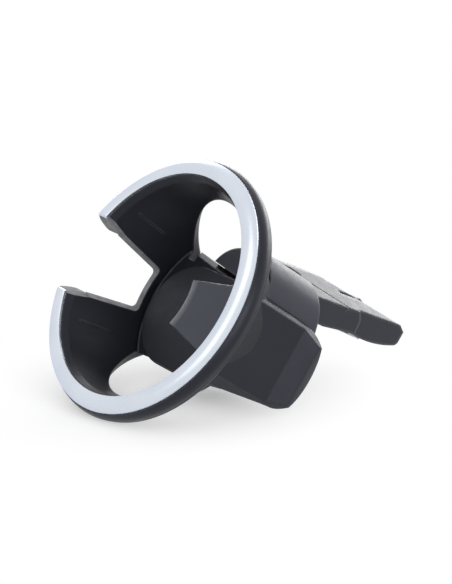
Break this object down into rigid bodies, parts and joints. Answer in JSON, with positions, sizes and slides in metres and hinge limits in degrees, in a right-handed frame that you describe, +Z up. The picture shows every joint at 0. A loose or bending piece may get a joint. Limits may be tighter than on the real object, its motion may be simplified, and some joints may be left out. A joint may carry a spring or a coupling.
{
  "type": "car cup holder",
  "caption": "Plug-in car cup holder: open tapered collar with a bright C-shaped rim, handle notch, side arches, sprung flap, hollow stem and a side arm with a tongue.",
  "frame": {"origin": "on the cup axis, level with the outer edge of the trim ring", "axes": "+Z up along the cup axis, +Y to the handle notch, +X to the mount arm and tongue"},
  "size_m": [0.0974, 0.0956, 0.0981],
  "materials": {
    "black_moulding": "fine moulded grain, satin black",
    "satin_chrome": "satin bright plating",
    "grey_rubber": "matt dark grey",
    "flap_moulding": "satin blue-grey",
    "arm_moulding": "fine moulded grain, satin black",
    "bracket_moulding": "satin black",
    "pale_felt": "pale felt",
    "steel": "plain bright steel"
  },
  "bodies": {
    "holder": {"cup_body": "black_moulding", "trim_ring": "satin_chrome", "floor_mat": "grey_rubber", "flap_pin": "steel", "flap_spring": "steel", "mount_arm": "arm_moulding", "mount_bracket": "bracket_moulding", "tongue_pad": "pale_felt", "mount_screw_near": "steel", "mount_screw_far": "steel"},
    "flap": {"grip_flap": "flap_moulding"}
  },
  "joints": [
    {"name": "flap_swing", "type": "hinge", "parent": "holder", "child": "flap", "pos_m": [0, -0.034, -0.0093], "axis": [-1, 0, 0], "range_deg": [0, 80], "stiffness_Nm_per_rad": 0.004, "springref_deg": -34.38}
  ]
}
